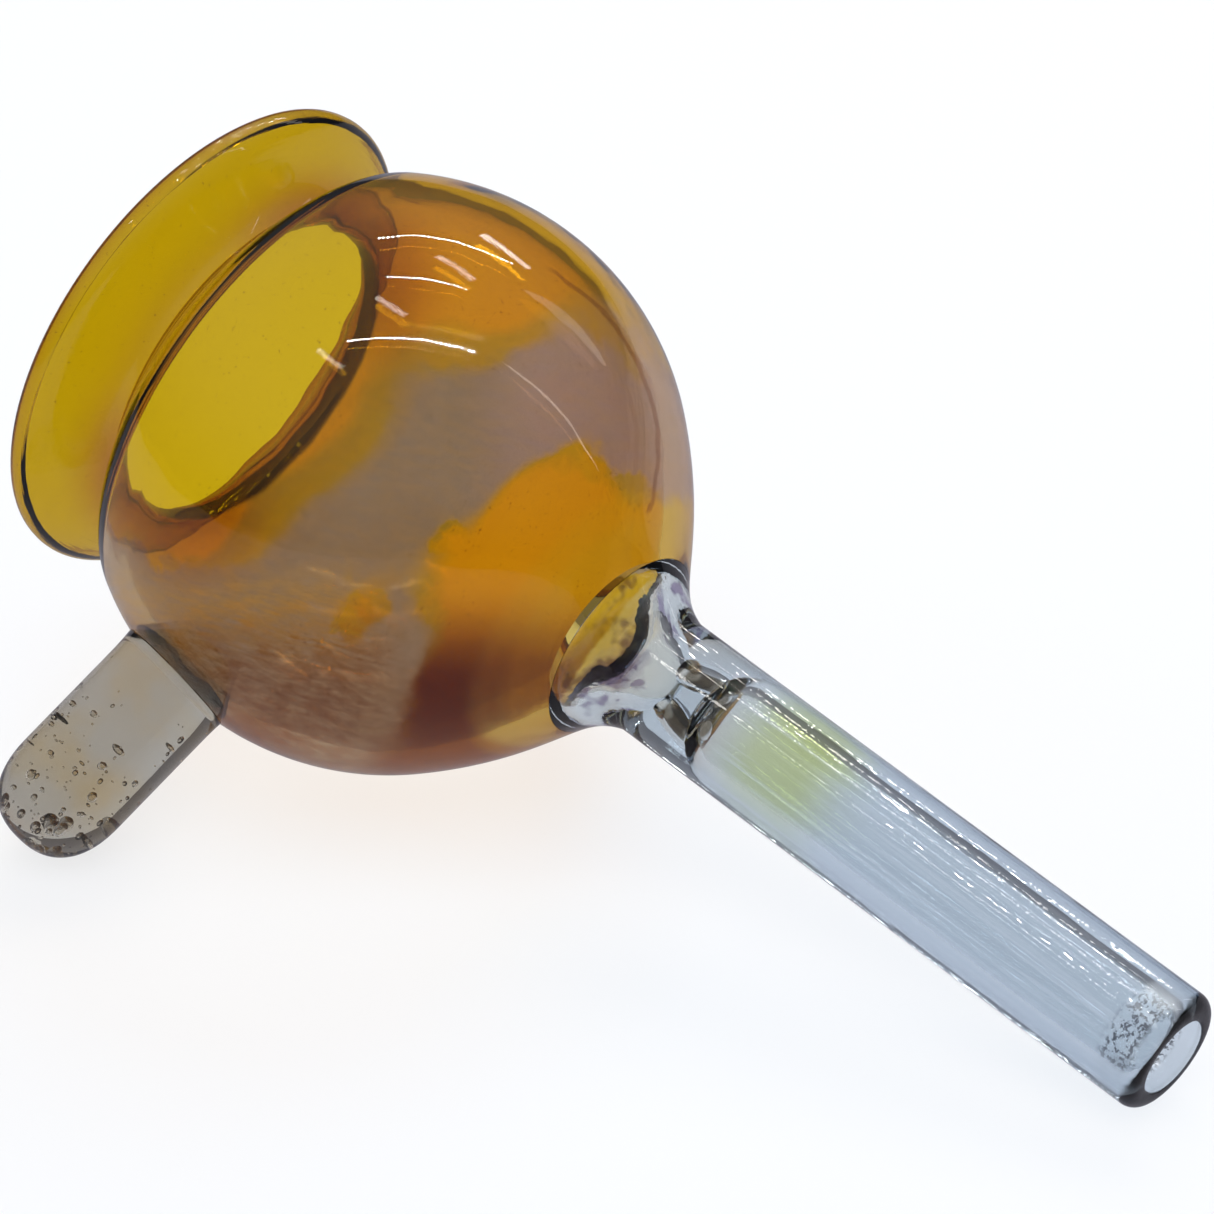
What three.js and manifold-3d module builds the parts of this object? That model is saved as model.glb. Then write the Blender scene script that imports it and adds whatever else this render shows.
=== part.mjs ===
// Blown glass funnel bowl, lying as it rests on a table: bulb, stem end and handle end touch z = 0.
// Units are millimetres, +Z is up, +X runs along the stem and the handle points towards -Y.
import * as THREE from 'three';
import { mergeVertices } from 'three/addons/utils/BufferGeometryUtils.js';
import Module from 'manifold-3d';

// ---- Driving dimensions -------------------------------------------------------------------------
const GAP = 0.3; // clearance left between two fused pieces
const BULB_RADIUS = 23.95;
const BULB_WALL = 2.0;
const MOUTH_RADIUS = 21.15; // outside radius of the open mouth
const MOUTH_REACH = 21.75; // from the bulb's centre to the mouth's edge, along the axis
const MOUTH_WALL = 1.3;
const WAIST_RADIUS = 15.3; // outside radius where mouth and bulb meet
const WAIST_REACH = 15.6;
const RIM_DEPTH = 1.5; // length of the fire-polished edge, along the wall
const STEM_RADIUS = 5.05;
const STEM_BORE = 3.15; // radius of the stem's bore
const STEM_REACH = 80.9; // from the bulb's centre to the stem's end
const STEM_END_ROUNDING = 1.2;
const STEM_MOUTH_ROUNDING = 0.3;
const COLOUR_END_RADIUS = 8.2; // outside radius at which amber glass gives way to clear
const COLLAR_WALL = 1.35;
const COLLAR_END_WALL = 1.3;
const FUNNEL_WALL = 0.9;
const FUNNEL_END = 31.6; // from the bulb's centre
const FUNNEL_END_RADIUS = STEM_BORE - GAP;
const PINCH_START = 31.9;
const PINCH_THICKNESS = 1.5;
const PINCH_HOLE_OFFSET = 1.32; // from the axis to each hole's centre
const PINCH_TURN_DEG = 62; // from the level, the line that joins the two holes
const HANDLE_RADIUS = 5.05;
const HANDLE_REACH = 41.0; // from the bulb's centre line to the handle's end
const HANDLE_END_ROUNDING = 4.6;
const HANDLE_SWING_DEG = 12.7; // from -Y towards -X
const HANDLE_DROP_DEG = 31.85; // below the horizontal
const HANDLE_SHIFT = 1.0; // the handle's axis passes this far from the bulb's centre, mouthwards
const WELD_WIDTH = 1.5;
const WELD_HEIGHT = 1.7;
const WELD_SHIFT = 0.8; // the fillet is wider on the side towards the stem

// The stem slopes so that its lower edge meets the table while the bulb rests on it.
const rise = BULB_RADIUS - STEM_END_ROUNDING;
const stemArm = new THREE.Vector2(STEM_REACH - STEM_END_ROUNDING, STEM_RADIUS - STEM_END_ROUNDING);
const STEM_SLOPE = Math.asin(rise / stemArm.length()) - Math.atan2(stemArm.y, stemArm.x);

const wasm = await Module();
wasm.setup();

// ---- Helpers ------------------------------------------------------------------------------------
/** A 2-D profile point: radius from the axis first, then distance along the axis. */
const at = (radius, along) => new THREE.Vector2(radius, along);

/** Welds a geometry down to positions only, facing outwards. */
function weld(geometry) {
  geometry.deleteAttribute('normal');
  geometry.deleteAttribute('uv');
  const welded = mergeVertices(geometry, 1e-4);
  const position = welded.attributes.position;
  const index = welded.index;
  const corners = [new THREE.Vector3(), new THREE.Vector3(), new THREE.Vector3()];
  const kept = [];
  let volume = 0;
  for (let i = 0; i < index.count; i += 3) {
    const ids = [index.getX(i), index.getX(i + 1), index.getX(i + 2)];
    if (ids[0] === ids[1] || ids[1] === ids[2] || ids[2] === ids[0]) continue;
    ids.forEach((id, k) => corners[k].fromBufferAttribute(position, id));
    volume += corners[0].dot(corners[1].clone().cross(corners[2])) / 6;
    kept.push(ids);
  }
  const ordered = volume < 0 ? kept.map(([a, b, c]) => [a, c, b]) : kept;
  welded.setIndex(ordered.flat());
  return welded;
}

/** A body turned about the local Y axis. The outline closes on itself or ends on the axis. */
function turned(outline, segments) {
  return weld(new THREE.LatheGeometry(outline, segments));
}

/** Converts a welded geometry to a manifold solid. */
function solid(geometry) {
  const vertProperties = new Float32Array(geometry.attributes.position.array);
  const triVerts = new Uint32Array(geometry.index.array);
  return new wasm.Manifold(new wasm.Mesh({ numProp: 3, vertProperties, triVerts }));
}

/** Converts a manifold solid back to a geometry. */
function fromSolid(body) {
  const mesh = body.getMesh();
  const geometry = new THREE.BufferGeometry();
  geometry.setAttribute('position', new THREE.BufferAttribute(new Float32Array(mesh.vertProperties), 3));
  geometry.setIndex(Array.from(mesh.triVerts));
  return geometry;
}

/** Points of a curve between two of its parameters, both ends included. */
function sample(curve, from, to, steps) {
  const points = [];
  for (let i = 0; i <= steps; i += 1) {
    points.push(curve.getPoint(from + ((to - from) * i) / steps));
  }
  return points;
}

/** Moves a point of a curve towards the axis side by a wall thickness. */
function insidePoint(curve, t, wall) {
  const tangent = curve.getTangent(t);
  const point = curve.getPoint(t);
  return at(point.x - tangent.y * wall, point.y + tangent.x * wall);
}

/** The closed outline of a wall that follows a curve between two parameters. */
function wallOutline(curve, from, to, wall, steps) {
  const outline = sample(curve, from, to, steps);
  for (let i = steps; i >= 0; i -= 1) {
    outline.push(insidePoint(curve, from + ((to - from) * i) / steps, wall));
  }
  outline.push(outline[0].clone());
  return outline;
}

/** Quarter-turn rounding between two directions about a centre. */
function rounding(centre, radius, fromDeg, toDeg, steps) {
  const points = [];
  for (let i = 0; i <= steps; i += 1) {
    const angle = THREE.MathUtils.degToRad(fromDeg + ((toDeg - fromDeg) * i) / steps);
    points.push(at(centre.x + radius * Math.cos(angle), centre.y + radius * Math.sin(angle)));
  }
  return points;
}

// ---- The outside curve of the vessel, from the mouth's edge to the stem --------------------------
const SPHERE_START = -27.0; // degrees from the bulb's equator, mouthwards negative
const SPHERE_END = 38.0;
const onBulb = (degrees) => {
  const angle = THREE.MathUtils.degToRad(degrees);
  return at(BULB_RADIUS * Math.cos(angle), BULB_RADIUS * Math.sin(angle));
};
const alongBulb = (degrees, distance) => {
  const angle = THREE.MathUtils.degToRad(degrees);
  return onBulb(degrees).add(at(-Math.sin(angle), Math.cos(angle)).multiplyScalar(distance));
};
const outside = new THREE.CurvePath();
outside.add(new THREE.CubicBezierCurve(
  at(MOUTH_RADIUS, MOUTH_WALL / 2 - MOUTH_REACH), at(21.7, -18.8), at(16.4, -18.2),
  at(WAIST_RADIUS, -WAIST_REACH)));
outside.add(new THREE.CubicBezierCurve(
  at(WAIST_RADIUS, -WAIST_REACH), at(15.3, -14.6), at(20.4, -12.7), onBulb(SPHERE_START)));
outside.add(new THREE.EllipseCurve(0, 0, BULB_RADIUS, BULB_RADIUS,
  THREE.MathUtils.degToRad(SPHERE_START), THREE.MathUtils.degToRad(SPHERE_END)));
outside.add(new THREE.CubicBezierCurve(
  onBulb(SPHERE_END), alongBulb(SPHERE_END, 11.2), at(6.4, 24.4), at(STEM_RADIUS, 29.4)));

const lengths = outside.getCurveLengths();
const whole = lengths[3];
const waistAt = lengths[0] / whole;
const jointAt = lengths[2] / whole;
const halfGap = GAP / 2 / whole;
let colourEndAt = jointAt;
while (outside.getPoint(colourEndAt).x > COLOUR_END_RADIUS) {
  colourEndAt += 0.0005;
}

// ---- Pieces in the vessel's own frame: Y runs from the bulb's centre along the stem ---------------
const rimEndAt = RIM_DEPTH / whole;
const rimWall = wallOutline(outside, 0, rimEndAt - halfGap, MOUTH_WALL, 3);
const rimCentre = rimWall[0].clone().add(insidePoint(outside, 0, MOUTH_WALL)).multiplyScalar(0.5);
const rimOutwards = rimWall[0].clone().sub(rimCentre);
const rimAngle = THREE.MathUtils.radToDeg(Math.atan2(rimOutwards.y, rimOutwards.x));
const rimRound = rounding(rimCentre, MOUTH_WALL / 2, rimAngle - 180, rimAngle, 7).slice(1, -1);
const rimBead = turned([...rimWall.slice(0, -1), ...rimRound, rimWall[0].clone()], 56);

const flaredMouth = turned(
  wallOutline(outside, rimEndAt + halfGap, waistAt - halfGap, MOUTH_WALL, 12), 56);

const bulbShell = turned(
  wallOutline(outside, waistAt + halfGap, colourEndAt - halfGap, BULB_WALL, 27), 56);

// The collar carries the outside curve on to the stem, and the funnel lines it.
const collarSteps = 10;
const collarOuter = sample(outside, colourEndAt + halfGap, 1 - halfGap, collarSteps);
const collarInner = [];
const funnelOuter = [];
const funnelInner = [];
for (let i = 0; i <= collarSteps; i += 1) {
  const share = i / collarSteps;
  const t = colourEndAt + halfGap + (1 - colourEndAt - 2 * halfGap) * share;
  const wall = THREE.MathUtils.lerp(COLLAR_WALL, COLLAR_END_WALL, share);
  collarInner.push(insidePoint(outside, t, wall));
  funnelOuter.push(insidePoint(outside, t, wall + GAP));
  funnelInner.push(insidePoint(outside, t, wall + GAP + FUNNEL_WALL));
}
const jointCollar = turned(
  [...collarOuter, ...collarInner.reverse(), collarOuter[0].clone()], 48);
const funnelFront = funnelOuter.filter((point) => point.x > FUNNEL_END_RADIUS + 0.05);
const funnelBack = funnelInner.filter((point) => point.x > FUNNEL_END_RADIUS - FUNNEL_WALL + 0.05);
const throatFunnel = turned([
  ...funnelFront,
  at(FUNNEL_END_RADIUS, 29.3),
  at(FUNNEL_END_RADIUS, FUNNEL_END),
  at(FUNNEL_END_RADIUS - FUNNEL_WALL, FUNNEL_END),
  at(FUNNEL_END_RADIUS - FUNNEL_WALL, 29.0),
  ...funnelBack.reverse(),
  funnelFront[0].clone(),
], 40);

// The pinch: a round plate across the bore, pierced by two almond-shaped holes.
const plate = new THREE.Shape();
plate.absarc(0, 0, FUNNEL_END_RADIUS, 0, Math.PI * 2, false);
for (const side of [-1, 1]) {
  const hole = new THREE.Path();
  const turn = THREE.MathUtils.degToRad(PINCH_TURN_DEG);
  hole.absellipse(side * PINCH_HOLE_OFFSET * Math.cos(turn), side * PINCH_HOLE_OFFSET * Math.sin(turn),
    1.1, 0.66, 0, Math.PI * 2, true, turn + Math.PI / 2);
  plate.holes.push(hole);
}
const pinchPlate = weld(new THREE.ExtrudeGeometry(plate, {
  depth: PINCH_THICKNESS,
  bevelEnabled: false,
  curveSegments: 20,
}).rotateX(-Math.PI / 2).translate(0, PINCH_START, 0));

const stemTube = turned([
  at(STEM_BORE, 29.4 + GAP),
  at(STEM_RADIUS - 0.05, 29.4 + GAP),
  at(STEM_RADIUS, 45.0),
  ...rounding(stemArm.clone().set(stemArm.y, stemArm.x), STEM_END_ROUNDING, 0, 90, 6),
  ...rounding(at(STEM_BORE + STEM_MOUTH_ROUNDING, STEM_REACH - STEM_MOUTH_ROUNDING),
    STEM_MOUTH_ROUNDING, 90, 180, 3),
  at(STEM_BORE, 55.0),
  at(STEM_BORE, 29.4 + GAP),
], 48);

// ---- Handle, built along +Y from the bulb's centre line -------------------------------------------
const handleStart = 14;
const handleBlank = turned([
  at(0, handleStart),
  at(HANDLE_RADIUS, handleStart),
  at(HANDLE_RADIUS, 26),
  at(HANDLE_RADIUS, 32),
  ...rounding(at(HANDLE_RADIUS - HANDLE_END_ROUNDING, HANDLE_REACH - HANDLE_END_ROUNDING),
    HANDLE_END_ROUNDING, 0, 90, 9),
  at(0, HANDLE_REACH),
], 40);
const weldFoot = Math.sqrt(BULB_RADIUS ** 2 - (HANDLE_RADIUS + GAP) ** 2);
const weldOuter = HANDLE_RADIUS + GAP + WELD_WIDTH;
const weldBlank = turned([
  at(0, handleStart),
  at(weldOuter, handleStart),
  at(weldOuter, weldFoot + 0.15),
  at(weldOuter - WELD_WIDTH * 0.55, weldFoot + WELD_HEIGHT * 0.4),
  at(weldOuter - WELD_WIDTH * 0.75, weldFoot + WELD_HEIGHT),
  at(0, weldFoot + WELD_HEIGHT),
], 40);
const weldCore = turned([
  at(0, handleStart - 1),
  at(HANDLE_RADIUS + GAP, handleStart - 1),
  at(HANDLE_RADIUS + GAP, weldFoot + WELD_HEIGHT + 1),
  at(0, weldFoot + WELD_HEIGHT + 1),
], 40);

// ---- Placing every piece in the part's frame ------------------------------------------------------
const bulbCentre = new THREE.Vector3(0, 0, BULB_RADIUS);
const stemDirection = new THREE.Vector3(Math.cos(STEM_SLOPE), 0, -Math.sin(STEM_SLOPE));
const swing = THREE.MathUtils.degToRad(HANDLE_SWING_DEG);
const drop = THREE.MathUtils.degToRad(HANDLE_DROP_DEG);
const handleDirection = new THREE.Vector3(
  -Math.sin(swing) * Math.cos(drop), -Math.cos(swing) * Math.cos(drop), -Math.sin(drop));

/** The placement that takes local +Y to a direction, keeps local X level and starts at a point. */
function placement(direction, start) {
  const level = new THREE.Vector3().crossVectors(direction, new THREE.Vector3(0, 0, 1)).normalize();
  const third = new THREE.Vector3().crossVectors(level, direction);
  return new THREE.Matrix4().makeBasis(level, direction, third).setPosition(start);
}
const vesselPlace = placement(stemDirection, bulbCentre);
const handlePlace = placement(
  handleDirection, bulbCentre.clone().addScaledVector(stemDirection, -HANDLE_SHIFT));
const weldPlace = placement(
  handleDirection, bulbCentre.clone().addScaledVector(stemDirection, WELD_SHIFT - HANDLE_SHIFT));

const bulbClearance = solid(weld(new THREE.SphereGeometry(BULB_RADIUS + GAP, 72, 40)
  .translate(bulbCentre.x, bulbCentre.y, bulbCentre.z)));
const handleRod = fromSolid(solid(handleBlank.applyMatrix4(handlePlace)).subtract(bulbClearance));
const handleWeld = fromSolid(solid(weldBlank.applyMatrix4(weldPlace))
  .subtract(solid(weldCore.applyMatrix4(handlePlace)))
  .subtract(bulbClearance));
for (const geometry of
  [rimBead, flaredMouth, bulbShell, jointCollar, throatFunnel, pinchPlate, stemTube]) {
  geometry.applyMatrix4(vesselPlace);
}

// ---- Named meshes ---------------------------------------------------------------------------------
const AMBER = 0xc8960f;
const AMBER_FUMED = 0xb07a2a;
const CLEAR = 0xc4ccd2;
const pieces = [
  ['rim_bead', rimBead, AMBER],
  ['flared_mouth', flaredMouth, AMBER],
  ['bulb_shell', bulbShell, AMBER_FUMED],
  ['joint_collar', jointCollar, CLEAR],
  ['throat_funnel', throatFunnel, CLEAR],
  ['pinch_plate', pinchPlate, CLEAR],
  ['stem_tube', stemTube, CLEAR],
  ['handle_weld', handleWeld, CLEAR],
  ['handle_rod', handleRod, CLEAR],
];
const group = new THREE.Group();
group.name = 'blown_glass_funnel_bowl';
for (const [name, geometry, color] of pieces) {
  const mesh = new THREE.Mesh(
    geometry, new THREE.MeshStandardMaterial({ color, roughness: 0.06, metalness: 0 }));
  mesh.name = name;
  group.add(mesh);
}

// The part's origin is the middle of its footprint, on the table.
const extent = new THREE.Box3().setFromObject(group);
const middle = extent.getCenter(new THREE.Vector3());
for (const mesh of group.children) {
  mesh.geometry.translate(-middle.x, -middle.y, -extent.min.z);
}

export default group;
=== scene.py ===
"""Looks for a lampworked glass funnel bowl lying on a pale table."""

import logging
import math
import random
from dataclasses import dataclass
from enum import Enum
from functools import reduce

import bpy
from mathutils import Matrix, Vector


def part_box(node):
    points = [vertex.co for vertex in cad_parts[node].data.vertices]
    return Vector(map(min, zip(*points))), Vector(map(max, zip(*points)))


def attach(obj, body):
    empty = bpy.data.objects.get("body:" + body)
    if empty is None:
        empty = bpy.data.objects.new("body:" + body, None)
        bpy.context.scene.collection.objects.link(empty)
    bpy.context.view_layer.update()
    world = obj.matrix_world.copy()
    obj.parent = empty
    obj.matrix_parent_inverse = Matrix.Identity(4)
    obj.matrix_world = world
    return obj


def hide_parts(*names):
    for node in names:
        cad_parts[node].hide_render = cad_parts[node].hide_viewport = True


LOG = logging.getLogger("glass_bowl")
MM = 0.001
Point = tuple[float, float]
Outline = list[Point]
Triple = tuple[float, float, float]
Colour = Triple
Span = tuple[float, float]
Socket = bpy.types.NodeSocket
Piece = bpy.types.Object
Glass = bpy.types.Material
Node = bpy.types.Node

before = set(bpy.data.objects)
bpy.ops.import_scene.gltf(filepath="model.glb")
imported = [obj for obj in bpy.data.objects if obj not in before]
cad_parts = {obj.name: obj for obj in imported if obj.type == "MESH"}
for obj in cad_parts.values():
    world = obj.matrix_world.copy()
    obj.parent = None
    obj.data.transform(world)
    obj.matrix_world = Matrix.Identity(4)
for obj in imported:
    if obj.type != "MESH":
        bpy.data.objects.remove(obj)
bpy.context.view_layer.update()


class Slot(Enum):
    """Material slots of the part's record."""

    FUMED = "fumed_amber_glass"
    CLEAR = "clear_glass"
    SEEDED = "seeded_clear_glass"


@dataclass(frozen=True)
class VesselSizes:
    """Driving sizes of the blown vessel, in millimetres from the bulb's centre."""

    bulb_radius: float = 23.935
    bulb_lift: float = 0.015
    mouth_radius: float = 21.1
    mouth_reach: float = 21.02
    waist_radius: float = 15.3
    waist_reach: float = 15.6
    mouth_wall: float = 1.3
    waist_wall: float = 1.7
    bulb_wall: float = 2.0
    joint_wall: float = 2.3
    stem_radius: float = 5.05
    stem_bore: float = 3.15
    stem_reach: float = 80.9
    stem_start: float = 29.4
    end_rounding: float = 1.2
    sphere_start: float = -27.0
    sphere_end: float = 38.0
    colour_end_radius: float = 8.2
    slope: float = 13.8
    mouth_pulls: tuple[Point, Point] = ((21.7, -18.8), (16.4, -18.2))
    shoulder_pulls: tuple[Point, Point] = ((15.3, -14.6), (20.4, -12.7))
    joint_pull: float = 11.2
    joint_end_pull: Point = (6.4, 24.4)
    mouth_steps: int = 22
    shoulder_steps: int = 18
    ball_steps: int = 44
    joint_steps: int = 36


SIZES = VesselSizes()
PINCH_TURN = math.radians(62.0)
HOLE_OFFSET = 1.3


def bezier(p0: Point, p1: Point, p2: Point, p3: Point, steps: int) -> Outline:
    """Points of a cubic curve, both ends included.

    Args:
        p0: Start point, as radius and distance along the axis.
        p1: First handle.
        p2: Second handle.
        p3: End point.
        steps: Number of pieces the curve is divided into.

    Returns:
        The points, as radius and distance along the axis.
    """
    points = []
    for i in range(steps + 1):
        t = i / steps
        s = 1.0 - t
        weights = (s * s * s, 3 * s * s * t, 3 * s * t * t, t * t * t)
        points.append(tuple(sum(w * p[k] for w, p in zip(weights, (p0, p1, p2, p3))) for k in (0, 1)))
    return points


def arc(centre: Point, radius: float, start: float, end: float, steps: int) -> Outline:
    """Points of a circular arc.

    Args:
        centre: The arc's centre, as radius and distance along the axis.
        radius: The arc's own radius.
        start: First angle in degrees, from the outward radial direction.
        end: Last angle in degrees.
        steps: Number of pieces the arc is divided into.

    Returns:
        The points, as radius and distance along the axis.
    """
    points = []
    for i in range(steps + 1):
        a = math.radians(start + (end - start) * i / steps)
        points.append((centre[0] + radius * math.cos(a), centre[1] + radius * math.sin(a)))
    return points


def inside(points: Outline, walls: list[float]) -> Outline:
    """Moves each point of an outline inwards by its own wall thickness.

    Args:
        points: Points in order from the mouth towards the stem.
        walls: One wall thickness for each point.

    Returns:
        The moved points, in the same order.
    """
    moved = []
    for i, (r, z) in enumerate(points):
        before, after = points[max(0, i - 1)], points[min(len(points) - 1, i + 1)]
        dr, dz = after[0] - before[0], after[1] - before[1]
        length = math.hypot(dr, dz)
        moved.append((r - dz / length * walls[i], z + dr / length * walls[i]))
    return moved


def vessel_curve() -> Outline:
    """The vessel's outside from the mouth's edge to the start of the stem.

    Returns:
        The points, as radius and distance along the axis.
    """
    s = SIZES
    start, end = math.radians(s.sphere_start), math.radians(s.sphere_end)
    on_start = (s.bulb_radius * math.cos(start), s.bulb_radius * math.sin(start))
    on_end = (s.bulb_radius * math.cos(end), s.bulb_radius * math.sin(end))
    pull = (on_end[0] - s.joint_pull * math.sin(end), on_end[1] + s.joint_pull * math.cos(end))
    waist = (s.waist_radius, -s.waist_reach)
    mouth = bezier((s.mouth_radius, -s.mouth_reach), *s.mouth_pulls, waist, s.mouth_steps)
    shoulder = bezier(waist, *s.shoulder_pulls, on_start, s.shoulder_steps)
    ball = arc((0.0, 0.0), s.bulb_radius, s.sphere_start, s.sphere_end, s.ball_steps)
    joint = bezier(on_end, pull, s.joint_end_pull, (s.stem_radius, s.stem_start), s.joint_steps)
    return mouth + shoulder[1:] + ball[1:] + joint[1:]


def deselect() -> None:
    """Leaves object mode with nothing selected."""
    if bpy.context.object is not None and bpy.context.object.mode != "OBJECT":
        bpy.ops.object.mode_set(mode="OBJECT")
    bpy.ops.object.select_all(action="DESELECT")


def only(obj: Piece) -> None:
    """Makes one object the selected and active one."""
    deselect()
    obj.select_set(True)
    bpy.context.view_layer.objects.active = obj


def spun(name: str, outline: Outline, steps: int) -> Piece:
    """Draws an outline by extruding one vertex and spins it round the local Z axis.

    Args:
        name: Name of the new piece.
        outline: Points in millimetres, closed on themselves or with both ends on the axis.
        steps: Number of steps in the full turn.

    Returns:
        The new object, in metres, with its mesh in the vessel's own frame.
    """
    deselect()
    bpy.ops.mesh.primitive_plane_add(size=MM)
    obj = bpy.context.object
    obj.name = name
    obj.data.name = name
    bpy.ops.object.mode_set(mode="EDIT")
    bpy.ops.mesh.select_all(action="SELECT")
    bpy.ops.mesh.merge(type="CENTER")
    r0, z0 = outline[0]
    bpy.ops.transform.translate(value=(r0 * MM, 0.0, z0 * MM))
    for (ra, za), (rb, zb) in zip(outline[:-1], outline[1:]):
        bpy.ops.mesh.extrude_region_move(
            TRANSFORM_OT_translate={"value": ((rb - ra) * MM, 0.0, (zb - za) * MM)})
    bpy.ops.mesh.select_all(action="SELECT")
    bpy.ops.mesh.spin(steps=steps, angle=math.tau, center=(0.0, 0.0, 0.0), axis=(0.0, 0.0, 1.0))
    bpy.ops.mesh.select_all(action="SELECT")
    bpy.ops.mesh.remove_doubles(threshold=0.004 * MM)
    bpy.ops.mesh.normals_make_consistent(inside=False)
    bpy.ops.object.mode_set(mode="OBJECT")
    return obj


def place(obj: Piece, matrix: Matrix) -> None:
    """Moves a piece's mesh into the part's frame and leaves the object at the origin."""
    only(obj)
    obj.matrix_world = matrix
    bpy.ops.object.transform_apply(location=True, rotation=True, scale=True)


def smooth(obj: Piece, degrees: float = 40.0) -> None:
    """Shades a piece smooth, except across edges sharper than the angle, and keeps its glow off the floor."""
    only(obj)
    bpy.ops.object.shade_smooth_by_angle(angle=math.radians(degrees))
    obj.visible_diffuse = False


def cut(obj: Piece, tool: Piece, operation: str) -> None:
    """Applies a boolean with another body, which is then removed.

    Args:
        obj: The piece that is kept.
        tool: The body that cuts it or is added to it.
        operation: DIFFERENCE or UNION.
    """
    only(obj)
    modifier = obj.modifiers.new("cut", "BOOLEAN")
    modifier.operation = operation
    modifier.solver = "EXACT"
    modifier.object = tool
    bpy.ops.object.modifier_apply(modifier=modifier.name)
    bpy.data.objects.remove(tool, do_unlink=True)


def join(pieces: list[Piece]) -> Piece:
    """Joins pieces into the first of them.

    Args:
        pieces: The pieces, with the one that is kept first.

    Returns:
        The joined piece.
    """
    deselect()
    for piece in pieces:
        piece.select_set(True)
    bpy.context.view_layer.objects.active = pieces[0]
    if len(pieces) > 1:
        bpy.ops.object.join()
    return pieces[0]


def frame_along(direction: Vector, start: Vector) -> Matrix:
    """The placement that takes local +Z to a direction and keeps local +X level.

    Args:
        direction: Unit vector for local +Z.
        start: Where the local origin goes.

    Returns:
        The placement, as a 4 by 4 matrix.
    """
    level = direction.cross(Vector((0.0, 0.0, 1.0))).normalized()
    third = direction.cross(level)
    turn = Matrix((level, third, direction)).transposed()
    return Matrix.Translation(start) @ turn.to_4x4()


# ---- Where the vessel and the handle lie ----
SLOPE = math.radians(SIZES.slope)
STEM_DIRECTION = Vector((math.cos(SLOPE), 0.0, -math.sin(SLOPE)))
HANDLE_SWING = math.radians(12.7)
HANDLE_DROP = math.radians(31.85)
HANDLE_DIRECTION = Vector((
    -math.sin(HANDLE_SWING) * math.cos(HANDLE_DROP),
    -math.cos(HANDLE_SWING) * math.cos(HANDLE_DROP),
    -math.sin(HANDLE_DROP),
))


def bulb_centre() -> Vector:
    """Finds the bulb's centre from the CAD nodes' boxes.

    Returns:
        The centre, in metres, in the part's frame.
    """
    stem_low, stem_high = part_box("stem_tube")
    bulb_low, bulb_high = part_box("bulb_shell")
    s = SIZES
    reach = ((s.stem_reach - s.end_rounding) * math.cos(SLOPE)
             + (s.stem_radius - s.end_rounding) * math.sin(SLOPE) + s.end_rounding) * MM
    return Vector((stem_high.x - reach, (bulb_low.y + bulb_high.y) / 2, (s.bulb_radius + s.bulb_lift) * MM))


CENTRE = bulb_centre()
VESSEL = frame_along(STEM_DIRECTION, CENTRE)


def to_vessel(direction: Triple) -> Vector:
    """Turns a direction in the part's frame into the vessel's own frame."""
    return VESSEL.to_3x3().transposed() @ Vector(direction)


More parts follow.
